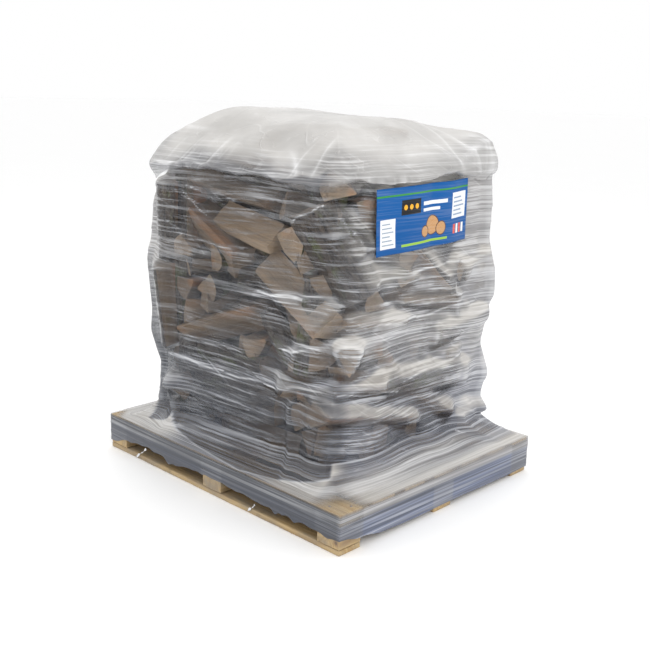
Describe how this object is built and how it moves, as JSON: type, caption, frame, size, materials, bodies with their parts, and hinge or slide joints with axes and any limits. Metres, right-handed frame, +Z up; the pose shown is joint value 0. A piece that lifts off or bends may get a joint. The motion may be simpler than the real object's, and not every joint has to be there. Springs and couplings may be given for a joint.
{
  "type": "pallet of firewood",
  "caption": "Wooden pallet with a heaped load of split logs, wrapped in clear stretch film, with a milky cover sheet on top and a printed sheet under the film",
  "frame": {"origin": "centre of the pallet's underside, on the floor", "axes": "+X along the runners, +Y across them, +Z up"},
  "size_m": [1.206, 1.006, 1.2861],
  "materials": {
    "weathered_pine": "rough sawn, weathered",
    "bare_pine": "rough sawn",
    "split_wood": "rough split face",
    "pale_wood": "fresh split face and cut ends",
    "dark_bark": "rough bark",
    "inner_wood": "rough split wood and bark, in shade",
    "stretch_film": "clear stretch film, wrinkled",
    "cover_sheet": "thin milky plastic sheet, soft sheen",
    "printed_sheet": "printed, satin",
    "film_tail": "white where the film is twisted"
  },
  "bodies": {
    "root": {"runner_1": "weathered_pine", "runner_2": "weathered_pine", "runner_3": "weathered_pine", "block_1_1": "weathered_pine", "block_1_2": "weathered_pine", "block_1_3": "weathered_pine", "block_2_1": "weathered_pine", "block_2_2": "weathered_pine", "block_2_3": "weathered_pine", "block_3_1": "weathered_pine", "block_3_2": "weathered_pine", "block_3_3": "weathered_pine", "cross_board_1": "bare_pine", "cross_board_2": "bare_pine", "cross_board_3": "bare_pine", "deck_board_1": "bare_pine", "deck_board_2": "bare_pine", "deck_board_3": "bare_pine", "deck_board_4": "bare_pine", "deck_board_5": "bare_pine", "deck_board_6": "bare_pine", "deck_board_7": "bare_pine", "log_01": "pale_wood", "log_02": "split_wood", "log_03": "split_wood", "log_04": "split_wood", "log_05": "pale_wood", "log_06": "pale_wood", "log_07": "split_wood", "log_08": "split_wood", "log_09": "split_wood", "log_10": "split_wood", "log_11": "split_wood", "log_12": "split_wood", "log_13": "split_wood", "log_14": "pale_wood", "log_15": "split_wood", "log_16": "dark_bark", "log_17": "dark_bark", "log_18": "pale_wood", "log_19": "pale_wood", "log_20": "split_wood", "log_21": "split_wood", "log_22": "split_wood", "log_23": "pale_wood", "log_24": "split_wood", "log_25": "pale_wood", "log_26": "split_wood", "log_27": "split_wood", "log_28": "split_wood", "log_29": "split_wood", "log_30": "split_wood", "log_31": "split_wood", "inner_logs": "inner_wood", "film_wrap": "stretch_film", "film_skirt": "stretch_film", "cover_sheet": "cover_sheet", "printed_sheet": "printed_sheet", "film_tail_1": "film_tail", "film_tail_2": "film_tail"}
  },
  "joints": []
}
